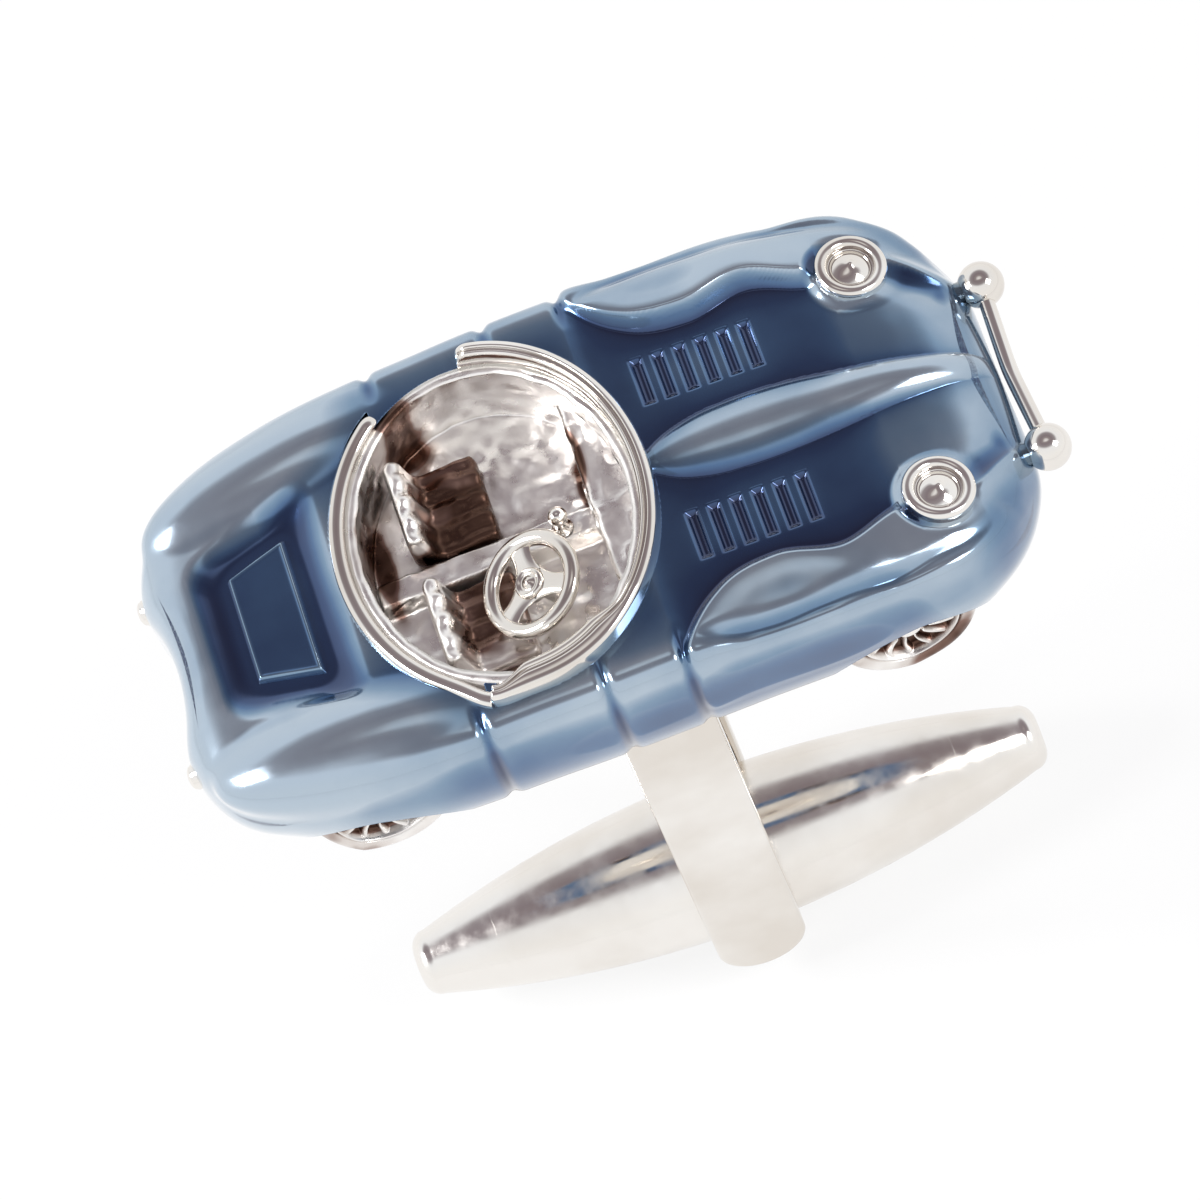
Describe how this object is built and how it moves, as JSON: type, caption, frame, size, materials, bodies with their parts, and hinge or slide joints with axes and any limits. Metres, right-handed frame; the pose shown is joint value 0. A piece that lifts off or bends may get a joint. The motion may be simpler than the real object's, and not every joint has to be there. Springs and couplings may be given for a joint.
{
  "type": "bullet-back cufflink",
  "caption": "Cufflink with a blue enamelled open roadster as its face, on a two-armed post with a swivelling bullet-shaped toggle bar.",
  "frame": {"origin": "on the post's axis at the back face of the car, where the shirt cuff rests", "axes": "+X to the car's nose, +Y to the car's left, +Z out of the face, away from the cuff"},
  "size_m": [0.0248, 0.0124, 0.025],
  "materials": {
    "blue_enamel": "gloss translucent enamel over bright metal",
    "polished_metal": "polished silver-coloured plate",
    "spring_steel": "plain spring steel"
  },
  "bodies": {
    "face_and_post": {"cockpit_tub": "polished_metal", "windscreen_frame": "polished_metal", "rear_cockpit_rim": "polished_metal", "passenger_seat": "polished_metal", "driver_seat": "polished_metal", "dashboard": "polished_metal", "gear_lever": "polished_metal", "steering_wheel": "polished_metal", "front_bumper": "polished_metal", "headlamp_left": "polished_metal", "headlamp_right": "polished_metal", "overrider_left": "polished_metal", "overrider_right": "polished_metal", "tail_lamp_left": "polished_metal", "tail_lamp_right": "polished_metal", "front_wheel_left": "polished_metal", "front_wheel_right": "polished_metal", "rear_wheel_left": "polished_metal", "rear_wheel_right": "polished_metal", "back_plate": "polished_metal", "yoke": "polished_metal", "pivot_pin": "polished_metal", "body_shell": "blue_enamel", "boot_panel": "blue_enamel"},
    "toggle": {"toggle_shell": "polished_metal", "toggle_cap_front": "polished_metal", "toggle_cap_rear": "polished_metal", "leaf_spring": "spring_steel"}
  },
  "joints": [
    {"name": "toggle_swivel", "type": "hinge", "parent": "face_and_post", "child": "toggle", "pos_m": [0, 0, -0.0184], "axis": [0, 1, 0], "range_deg": [-90, 90], "deforming": ["leaf_spring"]}
  ]
}
